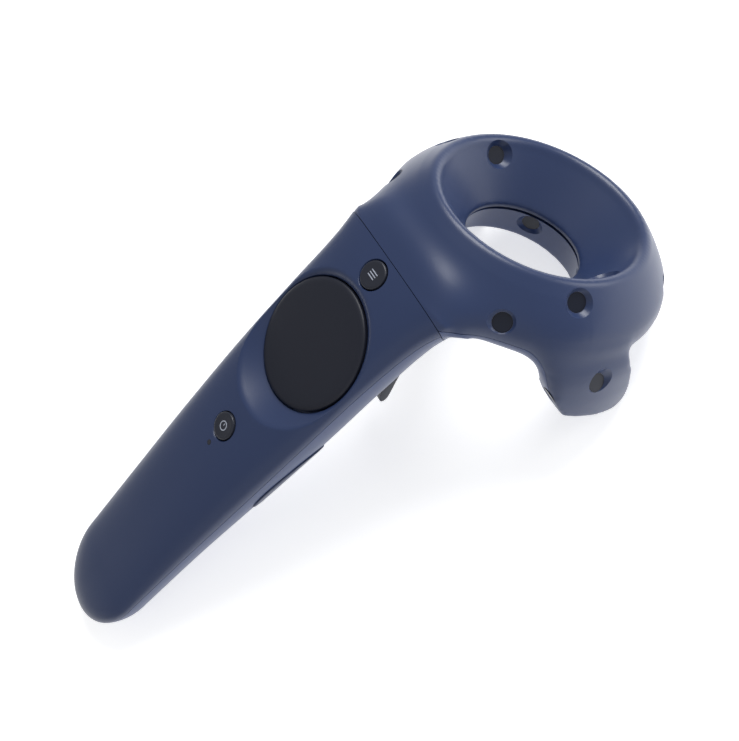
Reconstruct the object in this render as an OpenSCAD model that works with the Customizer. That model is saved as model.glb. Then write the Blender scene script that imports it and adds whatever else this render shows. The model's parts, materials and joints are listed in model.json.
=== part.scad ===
// VR motion controller: a wand handle with a trackpad, and a tilted ring with two side lobes.
// Design frame: X across, Y from the butt to the ring, Z out of the trackpad, zero at the pad centre.
// Every piece is then seated on a table by seated(), so the part rests on the butt and the two lobes.

/* [Handle] */
// Distance from the trackpad centre to the butt end, mm
butt_length = 129; // [126:1:132]
// Half width of the handle at the butt, mm
butt_half_width = 18; // [17:0.5:19]
// Half width of the handle at the trackpad, mm
pad_half_width = 22.8; // [22.6:0.1:23.4]
// Half width of the handle where it meets the head, mm
neck_half_width = 25.6; // [25:0.1:26.2]
// Height of the top face behind the trackpad, mm
top_height = 6.2; // [5.8:0.1:6.6]
// Depth of the underside below the trackpad at the head end, mm
neck_depth = 26; // [25.5:0.1:26.5]
// Depth of the underside below the trackpad at the butt, mm
butt_depth = 13.2; // [12.8:0.1:13.8]
// Wall thickness of the handle shells, mm
handle_wall = 2; // [1.8:0.1:2.2]

/* [Head] */
// Crest radius of the ring, mm
crest_radius = 33; // [32.5:0.1:33.5]
// Throat radius of the ring hole, mm
throat_radius = 18.4; // [17.8:0.1:18.8]
// Outer radius of the ring at its widest, mm
equator_radius = 45.8; // [45.2:0.1:46.4]
// Lean of the ring axis from the trackpad normal toward the front, degrees
ring_lean = 63; // [62.5:0.1:63.5]
// Half width of the head over the lobes, mm
lobe_half_width = 51; // [50.5:0.1:51.5]
// Wall thickness of the head shells, mm
head_wall = 2.2; // [2:0.1:2.4]

/* [Trackpad and buttons] */
// Radius of the trackpad well, mm
pad_well_radius = 20.4; // [20.3:0.05:20.5]
// Radius of the moving trackpad, mm
pad_radius = 20; // [19.9:0.05:20.05]
// Radius of the scooped bowl behind the trackpad, at the top face, mm
bowl_radius = 28; // [27:0.5:29]
// Radius of the round button holes, mm
button_hole_radius = 4.67; // [4.6:0.01:4.7]
// Radius of the round buttons, mm
button_radius = 4.35; // [4.25:0.05:4.4]
// Press travel left under the trackpad and buttons, mm
press_travel = 0.6; // [0.5:0.05:0.7]
// Length of a grip button along the handle, mm
grip_length = 30; // [29:0.5:31]
// Height of a grip button, mm
grip_height = 8; // [7.5:0.25:8.5]

/* [Trigger] */
// Width of the trigger blade, mm
trigger_width = 15; // [14:0.5:16]
// Radius of the trigger pin, mm
trigger_pin_radius = 1.5; // [1.4:0.05:1.6]
// Radial running clearance of the trigger on its pin, mm
pin_clearance = 0.05; // [0.03:0.01:0.08]

/* [Sensors] */
// Radius of a sensor window, mm
window_radius = 2.9; // [2.8:0.05:3]
// Radius of a window dimple at the surface, mm
dimple_radius = 3.9; // [3.8:0.05:4]

/* [Seating] */
// Tilt of the handle when the part rests on a table, degrees
seat_tilt = 21.95; // [21.85:0.05:22]

/* [Hidden] */
$fn = 48;
eps = 0.01;
big = 200;

navy = [0.19, 0.24, 0.36];
navy_light = [0.23, 0.28, 0.41];
pad_black = [0.10, 0.10, 0.12];
button_grey = [0.15, 0.16, 0.19];
window_black = [0.05, 0.05, 0.07];
board_green = [0.06, 0.30, 0.16];
chip_black = [0.08, 0.08, 0.09];
steel = [0.62, 0.63, 0.65];
brass = [0.72, 0.58, 0.28];
inner_black = [0.13, 0.13, 0.14];
foil = [0.75, 0.76, 0.78];
orange_flex = [0.72, 0.42, 0.12];

// Handle stations along Y: [y, half width, top, seam, underside]
butt_round = 21;
grip_half_width = (butt_half_width + pad_half_width) / 2 + 0.4;
handle_stations = [
    [-butt_length + butt_round, butt_half_width, top_height, 2.4, -butt_depth],
    [-78, butt_half_width + 1.3, top_height + 0.6, 1.3, -butt_depth - 2.4],
    [-50, grip_half_width, top_height + 0.3, 0.1, -butt_depth - 6.4],
    [-20, pad_half_width - 0.6, top_height - 1.6, -1.2, -neck_depth + 2.4],
    [5, pad_half_width + 0.1, 2.8, -3.3, -neck_depth + 0.5],
    [25, neck_half_width - 1.4, 0.5, -6.3, -neck_depth],
    [39, neck_half_width + 2.9, -2.4, -9.6, -neck_depth - 0.5]
];
top_power = 2.6;
under_power = 2;
section_points = 28;

// Slanted joint line between handle and head, seen from the side: [y, z]
joint_line = [[37.3, 4], [35.2, 0], [30.5, -9], [28.6, -16], [28, -25], [28, -60]];

// Ring centre in the design frame
ring_y = 68.9;
ring_z = -38.9;

// Ring profile: [radius, height along the ring axis], crest at zero
throat_drop = 15;
lip_drop = 28;
lip_radius = throat_radius + 4;
ring_profile = [
    [throat_radius, -throat_drop], [lip_radius, -lip_drop], [lip_radius + 3, -lip_drop - 0.4],
    [34, -lip_drop + 2], [41, -lip_drop + 6], [equator_radius - 0.8, -lip_drop + 9.4],
    [equator_radius, -lip_drop + 11], [equator_radius, -15.4], [equator_radius - 0.5, -12.7],
    [44.4, -10.3], [42.5, -8], [38.8, -4], [36.8, -2.2], [crest_radius + 1.4, -0.4], [crest_radius, 0],
    [crest_radius - 1.1, -0.3], [crest_radius - 2.1, -1.3]
];
// Hollow of the ring, a wall inside the profile
ring_hollow = [
    [throat_radius + 0.4 + head_wall, -throat_drop - head_wall], [lip_radius + head_wall, -lip_drop + 1.8],
    [33, -lip_drop + 4.2], [40, -lip_drop + 8.2], [equator_radius - head_wall, -lip_drop + 11.2],
    [equator_radius - head_wall, -15.2], [44.4 - 0.8 * head_wall, -11.8], [42.5 - 0.7 * head_wall, -9.6],
    [38.8 - 0.7 * head_wall, -5.6], [crest_radius + 0.6, -3]
];
hole_profile = [
    [0, 20], [0, -lip_drop - 20], [lip_radius + 12, -lip_drop - 20], [lip_radius, -lip_drop],
    [throat_radius, -throat_drop], [crest_radius - 2.1, -1.3], [crest_radius - 2.1, 20]
];

// Lobe outline seen from the side: [y, z]
lobe_side = [
    [64, -46], [58, -54.6], [52.9, -61.3], [45.6, -73.2], [43.2, -75.4], [40.2, -75], [38.3, -72],
    [35.2, -59], [31.8, -48], [31.8, -44.6], [34.4, -38.6], [38.4, -32.6], [41.2, -27.6], [43.6, -20], [60, -18]
];
// Flared band the lobes are cut from: [radius, height along the ring axis]
lobe_outer = lobe_half_width;
lobe_inner = lobe_half_width - 9;
lobe_band = [
    [lobe_inner - 1, -12], [lobe_inner, -30], [lobe_inner + 0.6, -62], [lobe_outer + 0.3, -62], [lobe_outer, -37],
    [lobe_outer - 0.6, -29], [lobe_outer - 1.8, -22], [equator_radius + 0.6, -16.4], [equator_radius - 3, -9]
];
lobe_hollow = [
    [lobe_inner - 2.5, -13.5], [lobe_inner - 2.5, -17.4], [lobe_inner + head_wall, -20.6],
    [lobe_inner + head_wall + 0.6, -61], [lobe_outer - head_wall, -61], [lobe_outer - head_wall, -37],
    [lobe_outer - 0.6 - head_wall, -29], [lobe_outer - 1.8 - head_wall, -22.6], [equator_radius - 0.9, -17.6],
    [equator_radius - 2.6, -13.5]
];
// Parting of the two head shells: [radius, height along the ring axis]
parting_drop = 17.4;
parting_outline = [
    [0, -parting_drop], [equator_radius - 1.2, -parting_drop], [lobe_outer - 4.4, -22], [lobe_outer - 3, -29],
    [lobe_outer - 2.7, -37], [lobe_outer - 2.7, -70], [0, -70]
];

function unit(v) = v / norm(v);
function inset(p, d) = [for (i = [0:len(p) - 1]) let (
    a = p[(i + len(p) - 1) % len(p)], b = p[i], c = p[(i + 1) % len(p)],
    e = unit(b - a), f = unit(c - b), n = [-e[1], e[0]], m = [-f[1], f[0]]) b + d * (n + m) / (1 + n * m)];
function sgn_pow(v, p) = sign(v) * pow(abs(v), p);
// Rounded section outline in X and Z, shrunk by a wall
function section(s, wall) = [for (i = [0:section_points - 1]) let (
    a = (i + 0.5) * 360 / section_points,
    power = sin(a) > 0 ? top_power : under_power,
    rise = sin(a) > 0 ? s[2] - wall - s[3] : s[3] - s[4] - wall)
    [(s[1] - wall) * sgn_pow(cos(a), 2 / power), s[3] + rise * sgn_pow(sin(a), 2 / power)]];
// Stations of the rounded butt, from the end inwards
function butt_station(k) = let (s = handle_stations[0], c = cos(k), w = sin(k), mid = (s[2] + s[4]) / 2 + 4.5)
    [-butt_length + butt_round * (1 - c), s[1] * w, mid + (s[2] - mid) * sqrt(w), s[3] - 2.5 * c, mid + (s[4] - mid) * w];
butt_angles = [12, 30, 50, 70];
function all_stations() = concat([for (k = butt_angles) butt_station(k)], handle_stations);

module seated() {
    translate([0, seat_shift_y, seat_shift_z]) rotate([seat_tilt, 0, 0]) children();
}
seat_shift_y = 7.62;
seat_shift_z = 54.54;

module on_ring() {
    translate([0, ring_y, ring_z]) rotate([-ring_lean, 0, 0]) children();
}

// Extrudes a [y, z] outline along X, from one side to the other
module along_x(outline, x0, x1) {
    translate([x0, 0, 0]) rotate([90, 0, 90]) linear_extrude(x1 - x0) polygon(outline);
}

module slice(s, wall) {
    translate([0, s[0], 0]) rotate([90, 0, 0]) linear_extrude(eps) polygon(section(s, wall));
}

// Handle bulk: the butt to the pad, then the pad to the neck
module handle_bulk(wall) {
    st = all_stations();
    n = len(st);
    shift = wall * 0.9;
    hull() for (i = [0:n - 3]) translate([0, i == 0 ? shift : 0, 0]) slice(st[i], wall);
    hull() for (i = [n - 3:n - 1]) slice(st[i], wall);
}

module handle_zone(gap) {
    along_x(concat([for (p = joint_line) [p[0] - gap, p[1]]], [[-big, -60], [-big, 60], [37.3 - gap, 60]]), -big, big);
}

seam_rise = [[-big, 1.9], [-butt_length + 6, 1.9], [-108, 2.4], [-78, 1.3], [-50, 0.1], [-20, -1.2], [5, -3.3], [25, -6.3], [39, -9.6], [big, -9.6]];
module above_seam() {
    along_x(concat(seam_rise, [[big, 60], [-big, 60]]), -big, big);
}

// Hollow handle; its children stay solid inside the wall
module handle_shells() {
    intersection() {
        difference() {
            handle_bulk(0);
            difference() {
                handle_bulk(handle_wall);
                children();
            }
        }
        handle_zone(0);
    }
}

menu_y = 28.1;
menu_z = -0.2;
menu_lean = 10;
system_y = -37.8;
system_z = 5.9;
light_y = -45.5;
module at_menu() {
    translate([0, menu_y, menu_z]) rotate([-menu_lean, 0, 0]) children();
}
module at_system() {
    translate([0, system_y, system_z]) children();
}

bowl_depth = 6.4;
module pad_well() {
    translate([0, 0, -7]) cylinder(r = pad_well_radius, h = 14);
    translate([0, 0, -0.4]) cylinder(r1 = pad_well_radius, r2 = bowl_radius + 0.6, h = bowl_depth);
}

grip_y = -37;
grip_z = -10;
grip_slope = -12;
// Leaf outline: two large arcs, blunted at the ends
leaf_reach = grip_length / 2 + 2;
leaf_radius = (pow(leaf_reach, 2) + pow(grip_height / 2, 2)) / grip_height;
module grip_outline(grow) {
    intersection() {
        translate([0, leaf_radius - grip_height / 2]) circle(r = leaf_radius + grow, $fn = 160);
        translate([0, grip_height / 2 - leaf_radius]) circle(r = leaf_radius + grow, $fn = 160);
        square([grip_length + 2 * grow, 2 * grip_height], center = true);
    }
}
// Places a side shape with its local Z pointing out of the right wall
module at_grip(side) {
    mirror([side < 0 ? 1 : 0, 0, 0]) translate([0, grip_y, grip_z]) rotate([grip_slope, 0, 0])
        rotate([90, 0, 90]) children();
}

module handle_top_shell() {
    color(navy) seated() difference() {
        intersection() {
            handle_shells() union() {
                translate([0, 0, -7]) cylinder(r = pad_well_radius + 1.6, h = 8);
                translate([0, 0, -2.4]) cylinder(r1 = pad_well_radius + 0.6, r2 = bowl_radius + 2.6, h = bowl_depth + 1.6);
            }
            above_seam();
        }
        pad_well();
        at_menu() translate([0, 0, -8]) cylinder(r = button_hole_radius, h = 16);
        at_system() translate([0, 0, -8]) cylinder(r = button_hole_radius, h = 16);
        translate([0, light_y, 0]) cylinder(r = light_radius, h = 20);
        along_x([[-29, -12], [29, -12], [26, -2.4], [-22, -2.4]], -pad_well_radius + 2, pad_well_radius - 2);
    }
}

trigger_y = 20;
trigger_z = -18;
slot_half_width = trigger_width / 2 + 0.6;
port_z = -2.2;
notch_y = -112;
notch_z = -10.3;
notch_depth = 7.2;
module handle_bottom_shell() {
    color(navy_light) seated() difference() {
        handle_shells() translate([-6.4, notch_y - 7.4, -notch_depth - 20]) cube([12.8, 14.8, 21.5]);
        above_seam();
        translate([-slot_half_width, -8.5, -40]) cube([2 * slot_half_width, 37, 25]);
        for (side = [-1, 1]) at_grip(side) translate([0, 0, 10]) linear_extrude(20) grip_outline(0.35);
        translate([-4.1, -butt_length - 10, port_z - 1.7]) cube([8.2, 20, 3.4]);
        translate([-5.2, -butt_length - 10, port_z - 2.6]) cube([10.4, 13.5, 5.2]);
        translate([-5, notch_y - 6, -notch_depth - 20]) cube([10, 12, 20]);
        translate([-6.6, notch_y, notch_z]) rotate([0, 90, 0]) cylinder(r = lanyard_pin_radius, h = 13.2);
        for (p = handle_screw_spots) translate([p[0], p[1], -40]) cylinder(r = 1.6, h = 40);
    }
}

lanyard_pin_radius = 1.1;
module lanyard_pin() {
    color(steel) seated() translate([-6.2, notch_y, notch_z]) rotate([0, 90, 0])
        cylinder(r = lanyard_pin_radius, h = 12.4);
}

// Head bulk: ring, neck and lobes, all shrunk by a wall
neck_stations = [
    [25, neck_half_width - 1.4, 0.5, -6.3, -neck_depth], [36, neck_half_width - 1.2, -2.2, -10, -neck_depth - 1.6],
    [43, neck_half_width - 6, -5.2, -14, -neck_depth - 3]
];
neck_root = [35.5, neck_half_width + 1.8, -1.7, -8.8, -neck_depth - 0.4];
neck_web = 4.8;
web_drop = 15.2;
module neck_bulk(wall) {
    difference() {
        union() {
            hull() for (s = neck_stations) slice(s, wall);
            hull() {
                slice(neck_stations[0], wall);
                slice(neck_root, wall);
                on_ring() intersection() {
                    translate([0, 0, -web_drop + wall]) cylinder(r = equator_radius - 1.2 - wall, h = neck_web - 2 * wall);
                    translate([-38 + wall, -60, -30]) cube([76 - 2 * wall, 38, 30]);
                }
            }
        }
        on_ring() rotate_extrude() polygon([for (p = inset(hole_profile, wall > 0 ? -wall - 0.8 : -1))
            [max(0, p[0]), p[1]]]);
    }
}

// Both lobes at once: the side outline cut from the flared band
module lobes_bulk(wall) {
    intersection() {
        along_x(wall > 0 ? inset(lobe_side, -wall) : lobe_side, -60, 60);
        on_ring() rotate_extrude() polygon(wall > 0 ? lobe_hollow : lobe_band);
    }
}

module head_bulk(wall) {
    intersection() {
        union() {
            on_ring() rotate_extrude() polygon(wall > 0 ? ring_hollow : ring_profile);
            neck_bulk(wall);
            lobes_bulk(wall);
        }
        along_x(concat([for (p = joint_line) [p[0] - (wall > 0 ? 1 : 0), p[1]]],
            [[joint_line[5][0], -big], [big, -big], [big, 60], [joint_line[0][0], 60]]), -big, big);
    }
}

module head_shells() {
    difference() {
        head_bulk(0);
        head_bulk(head_wall);
    }
}

module lower_head_zone() {
    on_ring() {
        rotate_extrude() polygon(parting_outline);
        translate([-60, -90, -90]) cube([120, 62, 90 - parting_drop]);
    }
}

// Sensors in the ring frame: [x, v, w, azimuth, elevation] of the outward normal
crest_spot = [36, -11, -3.5, -17, 42];
shoulder_spot = [31.6, -31.2, -11.4, -44.6, 30];
front_spot = [30, 33, -11.4, 47.7, 30];
nose_spot = [13.6, 42, -11.4, 72, 30];
cone_spot = [28.7, 4.5, -4, 189, 42];
outer_lobe_spot = [49.6, -1.4, -25, 0, 30];
wall_spot = [13.4, 15.3, -21.5, 229, -14];
edge_spot = [45, -14.3, -32.6, -90, -40];
inner_lobe_spot = [42, 1, -31, 180, -3];
under_spot = [18.6, 32.2, -24.6, 60, -60];
upper_spots = [crest_spot, shoulder_spot, front_spot, nose_spot, cone_spot, outer_lobe_spot];
lower_spots = [wall_spot, edge_spot, inner_lobe_spot, under_spot];

// Places a shape on each sensor spot of both sides, local Z outward
module at_spots(spots) {
    for (side = [0, 1], s = spots) mirror([side, 0, 0]) on_ring() translate([s[0], s[1], s[2]])
        rotate([0, 0, s[3]]) rotate([0, 90 - s[4], 0]) children();
}

dimple_depth = 1.2;
module dimple() {
    translate([0, 0, -dimple_depth]) cylinder(r1 = window_radius + 0.1, r2 = dimple_radius + 2, h = 3 * dimple_depth);
    translate([0, 0, -8]) cylinder(r = window_radius, h = 8);
}

module head_upper_shell() {
    color(navy) seated() difference() {
        head_shells();
        lower_head_zone();
        at_spots(concat(upper_spots, [edge_spot])) dimple();
    }
}

module head_lower_shell() {
    color(navy_light) seated() difference() {
        intersection() {
            head_shells();
            lower_head_zone();
        }
        at_spots(lower_spots) dimple();
        for (p = head_screw_spots) on_ring() translate([p[0], p[1], -60]) cylinder(r = 1.6, h = 60);
    }
}

window_thickness = 1;
module window() {
    translate([0, 0, -dimple_depth - window_thickness]) cylinder(r = window_radius, h = window_thickness);
}
module sensor_windows_upper() {
    color(window_black) seated() at_spots(upper_spots) window();
}
module sensor_windows_lower() {
    color(window_black) seated() at_spots(lower_spots) window();
}

photodiode = [3, 2.4, 0.9];
module photodiode_chip() {
    translate([-photodiode[0] / 2, -photodiode[1] / 2, -dimple_depth - window_thickness - 0.2 - photodiode[2]])
        cube(photodiode);
}
module photodiodes_upper() {
    color(chip_black) seated() at_spots(upper_spots) photodiode_chip();
}
module photodiodes_lower() {
    color(chip_black) seated() at_spots(lower_spots) photodiode_chip();
}

sensor_board_size = [4, 3.6, 0.6];
module sensor_board() {
    translate([-sensor_board_size[0] / 2, -sensor_board_size[1] / 2,
        -dimple_depth - window_thickness - 0.2 - photodiode[2] - sensor_board_size[2]]) cube(sensor_board_size);
}
module sensor_boards_upper() {
    color(board_green) seated() at_spots(upper_spots) sensor_board();
}
module sensor_boards_lower() {
    color(board_green) seated() at_spots(lower_spots) sensor_board();
}

// Annular skeleton inside the ring, with a gap at the neck for the cables
frame_inner = 24.6;
frame_outer = 36.5;
module ring_band(r0, r1, w0, w1) {
    on_ring() difference() {
        translate([0, 0, w0]) cylinder(r = r1, h = w1 - w0);
        translate([0, 0, w0 - 1]) cylinder(r = r0, h = w1 - w0 + 2);
        translate([-9, -60, w0 - 1]) cube([18, 60, w1 - w0 + 2]);
    }
}
module head_frame() {
    color(inner_black) seated() ring_band(frame_inner, frame_outer, -18, -16.8);
}
module sensor_flex() {
    color(orange_flex) seated() ring_band(frame_inner + 1.5, frame_outer - 1.5, -16.7, -16.4);
}
module head_board() {
    color(board_green) seated() on_ring() difference() {
        translate([0, 0, -19.2]) cylinder(r = frame_outer - 3.4, h = 0.8);
        translate([0, 0, -23]) cylinder(r = frame_inner + 0.6, h = 8);
        translate([-60, -60, -23]) cube([120, 66, 8]);
    }
}

head_screw_spots = [[27, 24], [-27, 24]];
module head_screws() {
    color(steel) seated() on_ring() for (p = head_screw_spots) translate([p[0], p[1], 0]) {
        translate([0, 0, -23.8]) cylinder(r = 1.4, h = 1.2);
        translate([0, 0, -22.8]) cylinder(r = 0.8, h = 3);
    }
}

module trackpad_cap() {
    color(pad_black) seated() rotate_extrude($fn = 96) polygon([[0, -2.2], [pad_radius, -2.2], [pad_radius, 0],
        [pad_radius - 0.3, 0.45], [pad_radius - 1.2, 0.85], [0, 0.95]]);
}
module trackpad_touch_board() {
    color(board_green) seated() translate([0, 0, -3.2]) cylinder(r = pad_radius - 1.6, h = 1);
}
module trackpad_plunger() {
    color(inner_black) seated() translate([0, 0, -4]) cylinder(r = 2.2, h = 0.8);
}
module trackpad_switch() {
    color(foil) seated() {
        translate([-3, -3, -7.8]) cube([6, 6, 2.2]);
        translate([0, 0, -5.6]) cylinder(r = 1.6, h = 1.6 - press_travel - 0.1);
    }
}
module trackpad_frame() {
    color(inner_black) seated() difference() {
        union() {
            translate([0, 0, -8.8]) cylinder(r = 18.6, h = 1);
            for (a = [90, 210, 330]) rotate([0, 0, a]) translate([15.5, 0, -8.8]) cylinder(r = 1.4, h = 4.2);
            for (a = [30, 150, 270]) rotate([0, 0, a]) translate([12, 0, -10]) cylinder(r = 1.4, h = 1.6);
        }
        for (a = [0, 120, 240]) rotate([0, 0, a]) translate([8.5, 0, -9]) cylinder(r = 2.6, h = 2);
    }
}
module trackpad_cable() {
    color(orange_flex) seated() translate([-3, -18, -9.6]) cube([6, 3.4, 0.3]);
}

// Round button: a shallow cap and a stem, local top at zero
module round_button() {
    rotate_extrude() polygon([[0, -3.4], [1.5, -3.4], [1.5, -2.2], [button_radius, -2.2],
        [button_radius, 0.1], [button_radius - 0.5, 0.5], [0, 0.55]]);
}
module menu_button() {
    color(button_grey) seated() at_menu() round_button();
}
module system_button() {
    color(button_grey) seated() at_system() round_button();
}
module button_switch() {
    top = -3.4 - press_travel - 0.1;
    translate([-2.6, -2.6, top - 1.6]) cube([5.2, 5.2, 1.2]);
    translate([0, 0, top - 0.4]) cylinder(r = 1.3, h = 0.4);
}
module menu_switch() {
    color(foil) seated() at_menu() button_switch();
}
module system_switch() {
    color(foil) seated() at_system() button_switch();
}
module menu_board() {
    color(board_green) seated() at_menu() translate([-6, -4.2, -6.7 - press_travel + 0.1]) cube([12, 8.4, 0.8]);
}
button_board_top = system_z - 3.4 - press_travel - 0.1 - 1.6;
module button_board() {
    color(board_green) seated() translate([-10, -52, button_board_top - 0.8]) cube([20, 20, 0.8]);
}

light_radius = 0.8;
module status_light_pipe() {
    color(window_black) seated() translate([0, light_y, 1.4]) cylinder(r = light_radius, h = 4.9);
}
module status_led() {
    color(foil) seated() translate([-0.8, light_y - 0.8, button_board_top]) cube([1.6, 1.6, 0.8]);
}

module grip_button(side) {
    intersection() {
        at_grip(side) translate([0, 0, 12]) linear_extrude(14) grip_outline(0);
        difference() {
            handle_bulk(-0.7);
            handle_bulk(1.7);
        }
    }
    mirror([side < 0 ? 1 : 0, 0, 0]) translate([15.1, grip_y - 2, grip_z - 1.5]) cube([2.7, 4, 3]);
}
module grip_button_right() {
    color(navy_light) seated() grip_button(1);
}
module grip_button_left() {
    color(navy_light) seated() grip_button(-1);
}
module both_sides() {
    for (m = [0, 1]) mirror([m, 0, 0]) children();
}
module grip_switches() {
    color(foil) seated() both_sides() translate([11.9, grip_y - 2.6, grip_z - 2.6]) cube([2.3, 5.2, 5.2]);
}
module grip_switch_boards() {
    color(board_green) seated() both_sides() translate([11.1, grip_y - 5, grip_z - 4.4]) cube([0.8, 10, 8.8]);
}

// Trigger outline seen from the side: [y, z]
blade = [
    [24, -17.5], [26.2, -21.6], [26, -25.4], [23, -28.2], [16, -30.6], [8, -32.8], [0, -35.2], [-5.4, -37.6],
    [-8.6, -38.8], [-10.8, -38], [-10.6, -36], [-4.6, -32.6], [3, -29.4], [9.6, -26.2], [14.2, -22.2], [16, -17.5]
];
hub_radius = 4;
magnet_y = 17;
magnet_z = -21.8;
module at_pivot(x) {
    translate([x, trigger_y, trigger_z]) rotate([0, 90, 0]) children();
}
module trigger() {
    half = trigger_width / 2;
    color(inner_black) seated() difference() {
        union() {
            along_x(blade, -half, half);
            at_pivot(-half) cylinder(r = hub_radius, h = trigger_width);
        }
        at_pivot(-half - 1) cylinder(r = trigger_pin_radius + pin_clearance, h = trigger_width + 2);
        at_pivot(-2.8) cylinder(r = 3.3, h = 5.6);
        translate([-2.8, trigger_y - 3.3, trigger_z]) cube([5.6, 6.6, 8]);
        translate([half - 1.8, magnet_y, magnet_z]) rotate([0, 90, 0]) cylinder(r = 1.2, h = 3);
    }
}
module trigger_magnet() {
    color(steel) seated() translate([trigger_width / 2 - 1.8, magnet_y, magnet_z]) rotate([0, 90, 0])
        cylinder(r = 1.2, h = 1.8);
}
module trigger_pin() {
    color(steel) seated() at_pivot(-trigger_width / 2 - 3) cylinder(r = trigger_pin_radius, h = trigger_width + 6);
}
bracket_gap = trigger_width / 2 + 1.3;
module trigger_bracket() {
    color(foil) seated() difference() {
        union() {
            both_sides() along_x([[12.5, -11.4], [25.5, -11.4], [23.5, -20.2], [22, -21], [18, -21], [16.5, -20.2]],
                bracket_gap, bracket_gap + 1.6);
            translate([-bracket_gap - 1.6, 2, -12.2]) cube([2 * bracket_gap + 3.2, 23.5, 1]);
            translate([-3.5, 3, -14.2]) cube([7, 6.6, 2.4]);
        }
        at_pivot(-20) cylinder(r = trigger_pin_radius, h = 40);
    }
}
module trigger_hall_board() {
    color(board_green) seated() translate([trigger_width / 2 + 0.5, 12.6, -20.9]) cube([0.7, 5.4, 6.5]);
}
module trigger_click_switch() {
    color(inner_black) seated() {
        translate([-3, 3.3, -17.6]) cube([6, 6, 3.4]);
        translate([0, 6.3, -18.2]) cylinder(r = 1.4, h = 0.6);
    }
}
wire_radius = 0.3;
spring_turns = 5;
module trigger_spring() {
    color(steel) seated() {
        at_pivot(-1.5) rotate_extrude() polygon(concat([[2, 0], [2, spring_turns * 2 * wire_radius]],
            [for (i = [spring_turns - 1:-1:0], e = [0.85, 0.5, 0.15]) [2.35 + (e == 0.5 ? wire_radius : 0.1),
                (i + e) * 2 * wire_radius]], [[2.35, 0]]));
        translate([-1.5, trigger_y - 2.35, trigger_z]) cylinder(r = wire_radius, h = 5.4);
        translate([1.2, trigger_y + 2.35, trigger_z]) cylinder(r = wire_radius, h = 5.4);
    }
}

module main_board() {
    color(board_green) seated() difference() {
        translate([-15, -26, -11.1]) cube([30, 50, 1]);
        for (s = board_screw_spots) translate([s[0], s[1], -12]) cylinder(r = 1.1, h = 3);
    }
}
board_screw_spots = [[-12.6, -23.5], [12.6, -23.5]];
module main_processor() {
    color(chip_black) seated() translate([-4, -12, -12.1]) cube([8, 8, 1]);
}
module radio_shield() {
    color(foil) seated() translate([-13, -22, -13.3]) cube([12, 9, 2.2]);
}
module board_connectors() {
    color(inner_black) seated() {
        translate([2, -22, -13.1]) cube([8, 3, 2]);
        translate([2, -17, -12.6]) cube([8, 3, 1.5]);
    }
}
module antenna() {
    color(brass) seated() both_sides() translate([15.3, -18, -13.6]) cube([0.4, 22, 4.4]);
}

module handle_frame() {
    color(inner_black) seated() {
        difference() {
            union() {
                translate([-9.6, -102, 1.8]) cube([19.2, 48, 0.9]);
                translate([-10.5, -55, -1.6]) cube([21, 1, 4.3]);
                translate([-10.5, -55, -1.6]) cube([21, 28, 0.9]);
                both_sides() translate([9.3, -50, -13.6]) cube([1.2, 23, 12.6]);
                both_sides() translate([9.3, -28.2, -13.6]) cube([5.4, 1.6, 12.9]);
            }
            translate([-6, -48, -3]) cube([12, 10, 2.5]);
            for (y = [-94, -80, -66]) translate([0, y, 1]) cylinder(r = 3.5, h = 4);
        }
    }
}
module battery() {
    color(foil) seated() translate([-11.5, -100, -7]) cube([23, 42, 7.8]);
}
module battery_pad() {
    color(chip_black) seated() translate([-8.5, -98, 0.9]) cube([17, 38, 0.8]);
}
module battery_tray() {
    color(inner_black) seated() {
        translate([-8.5, -101.4, -8.3]) cube([17, 44.8, 1.1]);
        translate([-8.5, -57.8, -8.3]) cube([17, 1.2, 6]);
        translate([-8.5, -101.4, -8.3]) cube([17, 1.2, 6]);
    }
}
module battery_lead() {
    color(orange_flex) seated() for (x = [-8, -6.8]) translate([x, -56.4, -4.6]) rotate([-90, 0, 0])
        cylinder(r = 0.5, h = 28);
}
module haptic_actuator() {
    color(steel) seated() translate([-8.5, -55.5, -14.4]) cube([17, 11, 6]);
}
module haptic_bracket() {
    color(foil) seated() translate([-8.9, -55.8, -8.3]) cube([17.8, 12, 0.8]);
}

port_y = -butt_length + 3.9;
module charging_port() {
    color(foil) seated() difference() {
        translate([-3.9, port_y, port_z - 1.5]) cube([7.8, 6.6, 3]);
        translate([-3.4, port_y - 1, port_z - 1]) cube([6.8, 6.2, 2]);
    }
}
module charging_tongue() {
    color(chip_black) seated() translate([-2.4, port_y + 1, port_z + 0.1]) cube([4.8, 4.2, 0.6]);
}
module charging_board() {
    color(board_green) seated() translate([-5.6, port_y + 1.6, port_z - 2.4]) cube([11.2, 10, 0.8]);
}

handle_screw_spots = [[-9, -104], [9, -104], [-11.5, -12], [11.5, -12]];
module handle_screws() {
    color(steel) seated() for (p = handle_screw_spots) translate([p[0], p[1], 0]) {
        z = p[1] < -50 ? -9.7 : -19.4;
        translate([0, 0, z - 1.2]) cylinder(r = 1.5, h = 1.2);
        translate([0, 0, z]) cylinder(r = 0.8, h = 3);
    }
}
module head_cable() {
    color(orange_flex) seated() translate([-5, 24.4, -10.9]) cube([10, 12.6, 0.3]);
}

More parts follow.
